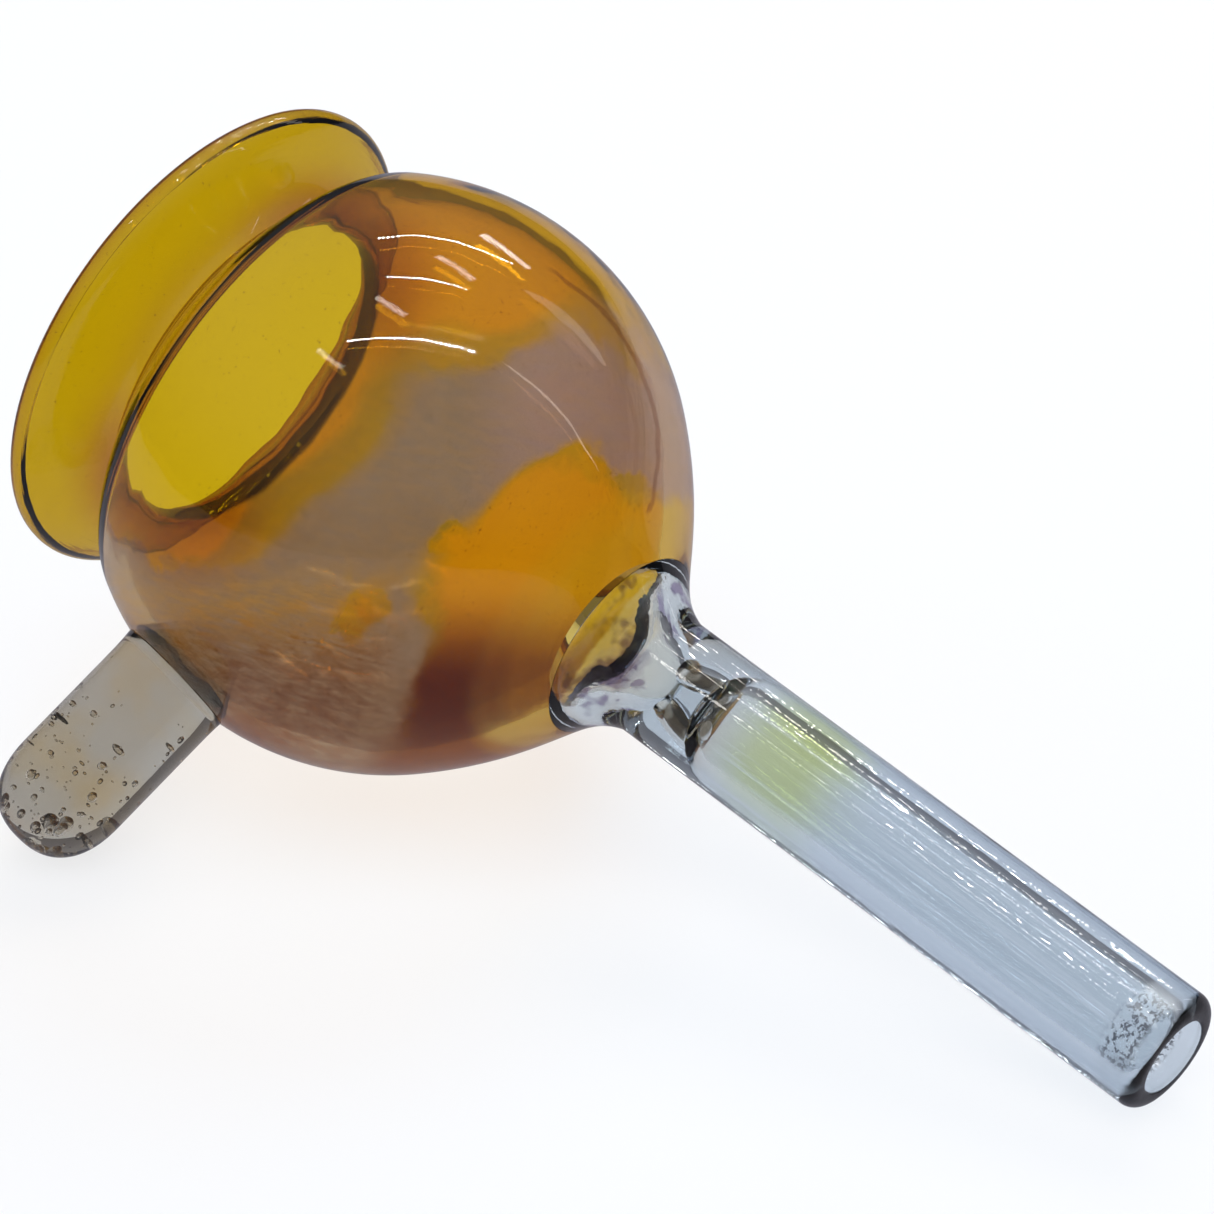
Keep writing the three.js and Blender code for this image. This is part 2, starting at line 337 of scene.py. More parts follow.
# ---- Shader helpers ----
class Nodes:
    """A small hand for wiring one node tree."""

    def __init__(self, tree: bpy.types.NodeTree) -> None:
        """Keeps the tree that is being wired."""
        self.tree = tree

    def add(self, kind: str, **settings: object) -> Node:
        """Adds a node and sets its properties.

        Args:
            kind: The node's type name.
            settings: Properties to set on it.

        Returns:
            The new node.
        """
        node = self.tree.nodes.new(kind)
        for key, value in settings.items():
            setattr(node, key, value)
        return node

    def link(self, source: Socket, target: Socket) -> None:
        """Joins two sockets."""
        self.tree.links.new(source, target)

    def put(self, node: Node, values: dict[str, object]) -> None:
        """Sets plain values on a node's inputs."""
        for key, value in values.items():
            node.inputs[key].default_value = value

    def feed(self, target: Socket, value: object) -> None:
        """Links a socket, or sets a plain value on it."""
        if isinstance(value, Socket):
            self.link(value, target)
        else:
            target.default_value = value

    def math(self, operation: str, a: object, b: object = 0.0) -> Socket:
        """A math node on sockets or numbers.

        Args:
            operation: The operation's name.
            a: First value or socket.
            b: Second value or socket.

        Returns:
            The result's socket.
        """
        node = self.add("ShaderNodeMath", operation=operation)
        self.feed(node.inputs[0], a)
        self.feed(node.inputs[1], b)
        return node.outputs[0]

    def blend(self, factor: object, a: object, b: object) -> Socket:
        """A colour mix.

        Args:
            factor: Share of the second colour.
            a: First colour or socket.
            b: Second colour or socket.

        Returns:
            The mixed colour's socket.
        """
        node = self.add("ShaderNodeMix", data_type="RGBA", clamp_result=True)
        self.feed(node.inputs[0], factor)
        self.feed(node.inputs[6], a if not isinstance(a, tuple) else (*a, 1.0))
        self.feed(node.inputs[7], b if not isinstance(b, tuple) else (*b, 1.0))
        return node.outputs[2]

    def spread(self, value: object, low: float, high: float, to_low: float = 0.0,
               to_high: float = 1.0) -> Socket:
        """Smoothly maps a range to another.

        Args:
            value: Socket to map.
            low: Value that gives to_low.
            high: Value that gives to_high.
            to_low: Result at the low end.
            to_high: Result at the high end.

        Returns:
            The mapped value's socket.
        """
        node = self.add("ShaderNodeMapRange", interpolation_type="SMOOTHSTEP", clamp=True)
        self.feed(node.inputs[0], value)
        for index, number in enumerate((low, high, to_low, to_high), start=1):
            node.inputs[index].default_value = number
        return node.outputs[0]

    def combine(self, x: object, y: object, z: object) -> Socket:
        """Joins three values or sockets into a vector."""
        node = self.add("ShaderNodeCombineXYZ")
        for index, value in enumerate((x, y, z)):
            self.feed(node.inputs[index], value)
        return node.outputs[0]

    def times(self, *values: object) -> Socket:
        """Multiplies values or sockets together."""
        return reduce(lambda a, b: self.math("MULTIPLY", a, b), values)

    def plus(self, *values: object) -> Socket:
        """Adds values or sockets together."""
        return reduce(lambda a, b: self.math("ADD", a, b), values)

    def minus(self, a: object, b: object) -> Socket:
        """Takes one value or socket from another."""
        return self.math("SUBTRACT", a, b)

    def group(self, name: str) -> Node:
        """Adds a shader node group that is already built."""
        node = self.add("ShaderNodeGroup")
        node.node_tree = bpy.data.node_groups[name]
        return node

    def distance(self, vector: Socket, point: Triple) -> Socket:
        """How far a vector is from a fixed point."""
        return self.measure("DISTANCE", vector, point)

    def separate(self, vector: Socket) -> tuple[Socket, ...]:
        """Splits a vector into its three values."""
        node = self.add("ShaderNodeSeparateXYZ")
        self.link(vector, node.inputs[0])
        return tuple(node.outputs)

    def dot(self, vector: Socket, direction: Triple) -> Socket:
        """How far a vector reaches along a direction."""
        return self.measure("DOT_PRODUCT", vector, direction)

    def measure(self, operation: str, vector: Socket, other: Triple) -> Socket:
        """A vector math node that gives a number.

        Args:
            operation: The operation's name.
            vector: The vector's socket.
            other: The fixed vector it is measured against.

        Returns:
            The number's socket.
        """
        node = self.add("ShaderNodeVectorMath", operation=operation)
        self.link(vector, node.inputs[0])
        node.inputs[1].default_value = other
        return node.outputs["Value"]

    def noise(self, vector: object, scale: float, detail: float = 3.0, rough: float = 0.55) -> Socket:
        """A noise texture's value.

        Args:
            vector: Where it is read.
            scale: Its scale.
            detail: Its octaves.
            rough: Roughness of the octaves.

        Returns:
            The value's socket, from 0 to 1.
        """
        node = self.add("ShaderNodeTexNoise")
        self.feed(node.inputs["Vector"], vector)
        self.put(node, {"Scale": scale, "Detail": detail, "Roughness": rough})
        return node.outputs["Fac"]


def new_group(name: str, inputs: dict[str, float],
              outputs: dict[str, str]) -> tuple[bpy.types.NodeTree, Nodes]:
    """Starts a shader node group.

    Args:
        name: The group's name.
        inputs: Float inputs and their defaults.
        outputs: Output names and socket types.

    Returns:
        The tree and a hand for wiring it.
    """
    tree = bpy.data.node_groups.new(name, "ShaderNodeTree")
    for key, value in inputs.items():
        sock = tree.interface.new_socket(name=key, in_out="INPUT", socket_type="NodeSocketFloat")
        sock.default_value = value
    for key, kind in outputs.items():
        tree.interface.new_socket(name=key, in_out="OUTPUT", socket_type=kind)
    return tree, Nodes(tree)


def vessel_coordinates_group() -> bpy.types.NodeTree:
    """Turns Object coordinates into millimetres in the vessel's own frame.

    Returns:
        The group, with a Place vector, an Along value and an Out value.
    """
    tree, n = new_group("Vessel coordinates", {}, {
        "Place": "NodeSocketVector", "Along": "NodeSocketFloat", "Out": "NodeSocketFloat"})
    coords = n.add("ShaderNodeTexCoord")
    shift = n.add("ShaderNodeVectorMath", operation="SUBTRACT")
    n.link(coords.outputs["Object"], shift.inputs[0])
    shift.inputs[1].default_value = CENTRE
    rows = [VESSEL.to_3x3().col[i] / MM for i in range(3)]
    parts = [n.dot(shift.outputs[0], row) for row in rows]
    squares = n.plus(n.times(parts[0], parts[0]), n.times(parts[1], parts[1]))
    end = n.add("NodeGroupOutput")
    n.link(n.combine(*parts), end.inputs["Place"])
    n.link(parts[2], end.inputs["Along"])
    n.link(n.math("SQRT", squares), end.inputs["Out"])
    return tree


def hand_waver_group() -> bpy.types.NodeTree:
    """Slow waver and fine drawn lines of hand-worked glass, as a bump height.

    Returns:
        The group, with Waver, Lines and Rings inputs and a Height output.
    """
    tree, n = new_group("Hand-worked waver", {"Waver": 1.0, "Lines": 1.0, "Rings": 0.0},
                        {"Height": "NodeSocketFloat"})
    start = n.add("NodeGroupInput")
    where = n.group("Vessel coordinates")
    slow = n.noise(where.outputs["Place"], 0.11, 2.0)
    stretched = n.add("ShaderNodeVectorMath", operation="MULTIPLY")
    n.link(where.outputs["Place"], stretched.inputs[0])
    stretched.inputs[1].default_value = (1.0, 1.0, 0.05)
    lines = n.noise(stretched.outputs[0], 0.9, 2.0)
    level = n.times(n.separate(where.outputs["Place"])[0], 0.02)
    turned = n.combine(where.outputs["Out"], where.outputs["Along"], level)
    rings = n.noise(turned, 1.7, 3.0, 0.6)
    on_mouth = n.spread(where.outputs["Along"], -17.4, -18.8)
    total = n.plus(n.times(slow, start.outputs["Waver"]), n.times(lines, start.outputs["Lines"], 0.12),
                   n.times(rings, on_mouth, start.outputs["Rings"], 0.3))
    end = n.add("NodeGroupOutput")
    n.link(total, end.inputs["Height"])
    return tree


@dataclass(frozen=True)
class GlassFinish:
    """A glass finish: its surface, how it bends light, and the light left after a depth in mm."""

    name: str
    roughness: float = 0.015
    ior: float = 1.47
    waver: float = 1.0
    lines: float = 1.0
    rings: float = 0.0
    bump: float = 0.25
    bump_height: float = 0.4
    shadow: Colour = (0.95, 0.95, 0.95)
    body: Colour = (0.8, 0.85, 0.9)
    depth: float = 10.0

    def start(self) -> tuple[Glass, Nodes, Node]:
        """Makes the material with its shader, bump and lighter shadow.

        Returns:
            The material, a hand for wiring it and its Principled shader.
        """
        material = bpy.data.materials.new(self.name)
        material.use_nodes = True
        material.node_tree.nodes.clear()
        n = Nodes(material.node_tree)
        shader = n.add("ShaderNodeBsdfPrincipled")
        n.put(shader, {"Metallic": 0.0, "Transmission Weight": 1.0, "IOR": self.ior,
                       "Roughness": self.roughness})
        waver = n.group("Hand-worked waver")
        n.put(waver, {"Waver": self.waver, "Lines": self.lines, "Rings": self.rings})
        bump = n.add("ShaderNodeBump")
        n.put(bump, {"Strength": self.bump, "Distance": self.bump_height * MM})
        n.link(waver.outputs["Height"], bump.inputs["Height"])
        n.link(bump.outputs["Normal"], shader.inputs["Normal"])
        clear = n.add("ShaderNodeBsdfTransparent")
        n.put(clear, {"Color": (*self.shadow, 1.0)})
        path = n.add("ShaderNodeLightPath")
        mix = n.add("ShaderNodeMixShader")
        n.link(path.outputs["Is Shadow Ray"], mix.inputs[0])
        n.link(shader.outputs[0], mix.inputs[1])
        n.link(clear.outputs[0], mix.inputs[2])
        out = n.add("ShaderNodeOutputMaterial")
        n.link(mix.outputs[0], out.inputs["Surface"])
        losses = [-math.log(share) / (self.depth * MM) for share in self.body]
        density = max(losses)
        absorb = n.add("ShaderNodeVolumeAbsorption")
        left = (1.0 - loss / density for loss in losses)
        n.put(absorb, {"Density": density, "Color": (*left, 1.0)})
        n.link(absorb.outputs[0], out.inputs["Volume"])
        return material, n, shader

@dataclass(frozen=True)
class FumeCloud:
    """One cloud of the fumed haze, or a clear window in it where the strength is negative.

    The fume was laid from one side, so a cloud runs straight through the bulb. It is placed in
    millimetres across and down from the bulb's centre, on the plane that faces that side.
    """

    across: float
    down: float
    size: float
    strength: float


FUME_ACROSS = (0.753, 0.658, 0.0)
FUME_DOWN = (0.350, -0.401, -0.847)
FUME_NEAR = (0.557, -0.638, 0.532)
FUME_CLOUDS = tuple(FumeCloud(*row) for row in (
    (6.0, -3.5, 10.0, 0.9), (-1.0, 4.0, 9.0, 0.7), (15.0, -7.5, 8.5, 0.9), (-11.0, 13.0, 10.0, 0.9),
    (-3.5, 18.0, 8.0, 0.9), (-21.0, 4.0, 6.0, 0.8), (-19.0, 9.5, 6.0, 1.0), (-6.5, 6.0, 6.0, 0.8),
    (22.0, -3.0, 7.0, 0.9), (-16.5, 1.5, 7.5, -2.2), (-10.2, -7.9, 10.0, -2.6),
    (-3.9, -17.0, 9.0, -2.2), (6.0, -18.0, 10.0, -1.2), (14.0, 4.6, 7.0, -1.8),
    (9.0, 10.5, 5.0, -1.5), (9.0, 18.0, 7.5, -1.6), (15.0, 12.0, 8.0, -1.6), (1.0, 12.5, 5.0, 0.7),
    (23.0, -3.0, 6.5, 0.8), (-1.9, 11.6, 2.0, -0.8), (-4.7, 8.1, 1.6, -0.7), (4.8, 5.6, 1.4, -0.7),
))


@dataclass(frozen=True)
class AmberFinish(GlassFinish):
    """Amber glass whose bulb carries a cloudy metallic haze, with painted shade low on the bulb, in the waist
    crease and as a dark ring inside the waist.
    """

    mouth: Colour = (0.67, 0.44, 0.003)
    pane: Colour = (0.80, 0.57, 0.003)
    bulb: Colour = (0.90, 0.60, 0.008)
    golden: Colour = (0.92, 0.62, 0.008)
    # Painted shade: darker amber low on the bulb, towards the floor.
    low_shade: Colour = (0.32, 0.11, 0.002)
    lip: Colour = (0.86, 0.72, 0.22)
    # Painted shade: darker reddish band in the waist crease.
    waist_shade: Colour = (0.42, 0.13, 0.04)
    edge: Colour = (0.46, 0.22, 0.01)
    # Painted shade: the near-black ring inside the waist.
    ring: Colour = (0.003, 0.002, 0.001)
    haze: Colour = (0.58, 0.50, 0.43)
    mauve: Colour = (0.66, 0.55, 0.56)
    drifted: Colour = (0.62, 0.57, 0.56)
    grit: Colour = (0.24, 0.10, 0.03)
    line: Colour = (0.30, 0.12, 0.05)
    cloud_core: float = 0.35
    fume_full: float = 0.7
    fume_drift: float = 1.4
    ragged: float = 5.0
    shade_ring_out: float = 13.7
    shade_ring_along: float = -15.5
    cloudy_roughness: float = 0.035
    line_centre: Point = (5.5, -1.5)
    line_radius: float = 15.8
    line_waver: float = 0.9
    skin: Span = (22.8, 23.3)
    fume_from: Span = (-16.5, -12.0)
    mauve_from: Span = (5.0, 13.0)
    bulb_from: Span = (-17.5, -12.0)
    golden_across: Span = (0.0, 9.0)
    golden_down: Span = (-6.0, 3.0)
    pane_across: Span = (2.0, -2.0)
    pane_down: Span = (6.0, 2.0)
    pane_from: Span = (-16.5, -14.0)
    pane_until: Span = (6.0, 1.0)
    # Span of the painted shade low on the bulb, in millimetres down.
    low_shade_down: Span = (8.5, 17.5)
    lip_from: Span = (20.6, 21.8)
    neck_from: Span = (-18.6, -16.6)
    neck_until: Span = (-11.0, -14.5)
    shade_ring_fade: Span = (1.1, 0.5)
    edge_until: Span = (-20.6, -21.3)
    grit_share: Span = (0.735, 0.76)

    def fume(self, n: Nodes, across: Socket, down: Socket, place: Socket) -> Socket:
        """The haze as a mask: slow noise pushed up by the clouds and down by the windows.

        Args:
            n: The hand that wires the material.
            across: Millimetres across from the bulb's centre.
            down: Millimetres down from it.
            place: Place in the vessel's frame.

        Returns:
            The mask's socket.
        """
        ragged = n.noise(place, 0.22, 4.0, 0.6)
        push = n.times(n.minus(ragged, 0.5), self.ragged)
        flat = n.combine(n.plus(across, push), n.minus(down, push), 0.0)
        total: object = n.times(n.minus(n.noise(place, 0.07, 2.0), 0.5), self.fume_drift)
        for cloud in FUME_CLOUDS:
            reach = n.distance(flat, (cloud.across, cloud.down, 0.0))
            core = cloud.size * self.cloud_core
            total = n.plus(total, n.spread(reach, cloud.size, core, 0.0, cloud.strength))
        return n.spread(total, 0.0, self.fume_full)

    def worn(self, n: Nodes, across: Socket, down: Socket) -> Socket:
        """How much haze is left where fine brush-like strokes have thinned it, mostly low on the bulb.

        Args:
            n: The hand that wires the material.
            across: Millimetres across from the bulb's centre.
            down: Millimetres down from it.

        Returns:
            The share's socket.
        """
        stroke = n.combine(n.plus(n.times(across, 0.25), n.times(down, 0.12)),
                           n.minus(down, n.times(across, 0.3)), 0.0)
        low = n.times(n.spread(down, 6.0, 12.0), n.spread(across, 3.0, -4.0))
        brushed = n.spread(n.noise(stroke, 1.6, 4.0, 0.65), 0.40, 0.60)
        thinned = n.times(n.minus(1.0, brushed), n.plus(n.times(low, 0.5), 0.1))
        return n.minus(1.0, thinned)

    def build(self) -> Glass:
        """Wires the amber glass.

        Returns:
            The material.
        """
        material, n, shader = self.start()
        where = n.group("Vessel coordinates")
        place, along, out = where.outputs["Place"], where.outputs["Along"], where.outputs["Out"]
        level, third, _ = n.separate(place)
        across = n.dot(place, to_vessel(FUME_ACROSS))
        down = n.dot(place, to_vessel(FUME_DOWN))
        haze = n.times(self.fume(n, across, down, place), n.spread(along, *self.fume_from),
                       self.worn(n, across, down))
        tone = n.blend(n.spread(across, *self.mauve_from), self.haze, self.mauve)
        tone = n.blend(n.spread(n.noise(place, 0.16, 3.0), 0.42, 0.62, 0.0, 0.35), tone, self.drifted)
        amber = n.blend(n.spread(along, *self.bulb_from), self.mouth, self.bulb)
        sunny = n.times(n.spread(across, *self.golden_across), n.spread(down, *self.golden_down))
        amber = n.blend(sunny, amber, self.golden)
        window = n.times(n.spread(across, *self.pane_across), n.spread(down, *self.pane_down),
                         n.spread(along, *self.pane_from), n.spread(along, *self.pane_until))
        amber = n.blend(window, amber, self.pane)
        # Painted shade: darker amber low on the bulb, standing in for its own shadow on the floor seen
        # through it.
        amber = n.blend(n.spread(down, *self.low_shade_down), amber, self.low_shade)
        amber = n.blend(n.spread(along, *self.lip_from, 0.0, 0.85), amber, self.lip)
        base = n.blend(haze, amber, tone)
        # Painted shade: a darker reddish band in the waist crease, strongest on its two sides.
        sideways = n.math("DIVIDE", n.plus(n.times(level, 0.71), n.times(third, 0.70)), out)
        sides = n.spread(n.math("ABSOLUTE", sideways), 0.35, 0.9, 0.3, 1.0)
        waist_shade_mask = n.times(n.spread(along, *self.neck_from), n.spread(along, *self.neck_until), sides, 0.8)
        base = n.blend(waist_shade_mask, base, self.waist_shade)
        # Painted shade: a near-black ring round the inside of the waist, on the table side.
        tableward = n.math("DIVIDE", n.minus(n.times(third, 0.71), n.times(level, 0.70)), out)
        shade_ring_out = n.minus(out, self.shade_ring_out)
        shade_ring_along = n.minus(along, self.shade_ring_along)
        from_shade_ring = n.plus(n.times(shade_ring_out, shade_ring_out), n.times(shade_ring_along, shade_ring_along))
        shade = n.times(n.spread(from_shade_ring, *self.shade_ring_fade), n.spread(tableward, -0.15, 0.15), 0.97)
        base = n.blend(shade, base, self.ring)
        base = n.blend(n.spread(along, *self.edge_until, 0.0, 0.75), base, self.edge)
        base = n.blend(n.spread(n.noise(place, 3.4, 1.0, 0.5), *self.grit_share, 0.0, 0.7), base, self.grit)
        n.link(self.thread(n, across, down, place, base), shader.inputs["Base Color"])
        n.link(n.plus(n.times(haze, self.cloudy_roughness), self.roughness), shader.inputs["Roughness"])
        return material

    def thread(self, n: Nodes, across: Socket, down: Socket, place: Socket, base: Socket) -> Socket:
        """Draws the fine dark flow line that curves over the bulb towards the stem.

        Args:
            n: The hand that wires the material.
            across: Millimetres across from the bulb's centre.
            down: Millimetres down from it.
            place: Place in the vessel's frame.
            base: The colour so far.

        Returns:
            The colour with the line on it.
        """
        waver = n.times(n.minus(n.noise(place, 0.35, 3.0), 0.5), self.line_waver)
        reach = n.distance(n.combine(across, down, 0.0), (*self.line_centre, 0.0))
        off = n.math("ABSOLUTE", n.minus(n.plus(reach, waver), self.line_radius))
        near = n.dot(place, to_vessel(FUME_NEAR))
        part = n.times(n.spread(down, 3.6, 3.0), n.spread(across, 12.4, 13.6), n.spread(near, 2.0, 3.0),
                       n.spread(n.distance(place, (0.0, 0.0, 0.0)), *self.skin), 0.8)
        return n.blend(n.times(n.spread(off, 0.24, 0.10), part), base, self.line)


@dataclass(frozen=True)
class ClearFinish(GlassFinish):
    """Clear glass with a smoky blue tone, painted shade in the dark fillet where it meets the bulb and in the
    pinch's holes, and painted highlights on the collar and in pale lines along the stem.
    """

    tone: Colour = (0.82, 0.865, 0.885)
    # Painted highlight: the lighter, warmer tint of the collar and funnel.
    joint: Colour = (0.95, 0.93, 0.86)
    green: Colour = (0.80, 0.84, 0.42)
    # Painted highlight: near-white lines along the stem.
    highlight_streak: Colour = (0.97, 0.98, 0.99)
    # Painted shade: dark purple in the fillet where the collar meets the bulb.
    fillet: Colour = (0.12, 0.05, 0.17)
    crescent: Colour = (0.80, 0.66, 0.16)
    # Painted shade: dark walls of the pinch's holes.
    hole_shade: Colour = (0.08, 0.045, 0.012)
    frosted: Colour = (0.05, 0.05, 0.06)
    frost: float = 0.25
    tone_from: Span = (30.0, 44.0)
    green_from: Span = (37.0, 42.0)
    green_until: Span = (50.0, 45.0)
    highlight_streaks_from: Span = (36.0, 40.0)
    highlight_streaks_until: Span = (79.0, 76.0)
    crescent_until: Span = (24.6, 24.0)
    fillet_from: Span = (22.8, 23.6)
    fillet_until: Span = (31.0, 28.5)
    holes_from: Span = (31.9, 32.3)
    holes_until: Span = (34.9, 34.3)
    frost_from: Span = (76.2, 77.2)
    frost_until: Span = (79.6, 79.0)

    def build(self) -> Glass:
        """Wires the clear glass.

        Returns:
            The material.
        """
        material, n, shader = self.start()
        where = n.group("Vessel coordinates")
        place, along, out = where.outputs["Place"], where.outputs["Along"], where.outputs["Out"]
        level, third, _ = n.separate(place)
        # Painted highlight: the collar and funnel are lighter and warmer, giving way to the smoky tone along
        # the stem.
        base = n.blend(n.spread(along, *self.tone_from), self.joint, self.tone)
        cloud = n.times(n.spread(along, *self.green_from), n.spread(along, *self.green_until),
                        n.spread(third, 2.5, -2.5, 0.25, 0.85))
        base = n.blend(cloud, base, self.green)
        # Painted highlights: near-white lines along the stem's drawn lines.
        drawn = n.combine(level, third, n.times(along, 0.02))
        highlight_streaks = n.times(n.spread(n.noise(drawn, 1.5, 2.0), 0.56, 0.63),
                          n.spread(along, *self.highlight_streaks_from), n.spread(along, *self.highlight_streaks_until), 0.8)
        base = n.blend(highlight_streaks, base, self.highlight_streak)
        ring = n.times(n.spread(along, *self.crescent_until), n.spread(out, 5.5, 6.3), 0.85)
        base = n.blend(ring, base, self.crescent)
        # Painted shade: a dark purple, broken band in the fillet where the collar meets the bulb.
        outside = n.plus(out, n.times(n.minus(along, 24.0), 0.42))
        dark = n.times(n.spread(outside, 5.8, 6.2), n.spread(along, *self.fillet_from),
                       n.spread(along, *self.fillet_until),
                       n.spread(n.noise(place, 0.2, 3.0, 0.6), 0.55, 0.62), 0.9)
        base = n.blend(dark, base, self.fillet)
        # Painted shade: darkens the walls of the pinch's two holes.
        base = n.blend(self.holes(n, level, third, along), base, self.hole_shade)
        grit = n.spread(n.noise(place, 2.6, 3.0, 0.7), 0.48, 0.56)
        inner = n.times(n.spread(along, *self.frost_from), n.spread(along, *self.frost_until),
                        n.spread(out, 3.9, 3.5))
        base = n.blend(n.times(inner, grit), base, self.frosted)
        n.link(base, shader.inputs["Base Color"])
        n.link(n.plus(n.times(inner, self.frost), self.roughness), shader.inputs["Roughness"])
        return material

    def holes(self, n: Nodes, level: Socket, third: Socket, along: Socket) -> Socket:
        """The walls of the pinch's two holes as a mask for their painted shade.

        Args:
            n: The hand that wires the material.
            level: Place across the axis, level.
            third: Place across the axis, square to level.
            along: Place along the axis.

        Returns:
            The mask's socket.
        """
        cos, sin = math.cos(PINCH_TURN), math.sin(PINCH_TURN)
        line = n.plus(n.times(level, cos), n.times(third, sin))
        cross = n.minus(n.times(third, cos), n.times(level, sin))
        from_hole = n.minus(n.math("ABSOLUTE", line), HOLE_OFFSET)
        spot = n.plus(n.times(from_hole, from_hole), n.times(cross, cross))
        return n.times(n.spread(spot, 2.3, 1.5), n.spread(along, *self.holes_from),
                       n.spread(along, *self.holes_until), 0.95)


@dataclass(frozen=True)
class SeededFinish(GlassFinish):
    """Clear rod glass with a warm grey tone."""

    tone: Colour = (0.78, 0.76, 0.72)
    warm: Colour = (0.82, 0.70, 0.50)

    def build(self) -> Glass:
        """Wires the handle's glass.

        Returns:
            The material.
        """
        material, n, shader = self.start()
        where = n.group("Vessel coordinates")
        drift = n.noise(where.outputs["Place"], 0.16, 3.0)
        base = n.blend(n.spread(drift, 0.45, 0.66), self.tone, self.warm)
        n.link(base, shader.inputs["Base Color"])
        return material


@dataclass
class AmberVessel:
    """The blown amber part: mouth, waist and bulb in one continuous wall."""

    sizes: VesselSizes = SIZES
    steps: int = 144

    def outline(self) -> Outline:
        """The closed section of the amber wall.

        Returns:
            The points, as radius and distance along the axis.
        """
        s = self.sizes
        curve = vessel_curve()
        last = next(i for i, (r, z) in enumerate(curve) if z > 15.0 and r < s.colour_end_radius)
        outer = curve[:last + 1]
        walls = [self.wall_at(z) for _, z in outer]
        inner = inside(outer, walls)
        centre = tuple((outer[0][k] + inner[0][k]) / 2 for k in (0, 1))
        turn = math.degrees(math.atan2(outer[0][1] - centre[1], outer[0][0] - centre[0]))
        edge = arc(centre, s.mouth_wall / 2, turn - 180.0, turn, 12)[1:-1]
        return outer + inner[::-1] + edge + [outer[0]]

    def wall_at(self, along: float) -> float:
        """Wall thickness at a distance along the axis.

        Args:
            along: The distance from the bulb's centre, towards the stem.

        Returns:
            The thickness.
        """
        s = self.sizes
        stops = ((-21.0, s.mouth_wall), (-15.0, s.waist_wall), (-8.0, s.bulb_wall),
                 (15.0, s.bulb_wall), (24.0, s.joint_wall))
        for (za, wa), (zb, wb) in zip(stops[:-1], stops[1:]):
            if along < zb:
                share = max(0.0, (along - za) / (zb - za))
                return wa + (wb - wa) * share
        return stops[-1][1]

    def build(self, material: Glass) -> Piece:
        """Makes and dresses the vessel.

        Args:
            material: The amber glass.

        Returns:
            The piece.
        """
        body = spun("amber_vessel", self.outline(), self.steps)
        place(body, VESSEL)
        smooth(body)
        body.data.materials.append(material)
        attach(body, "root")
        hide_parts("rim_bead", "flared_mouth", "bulb_shell")
        return body


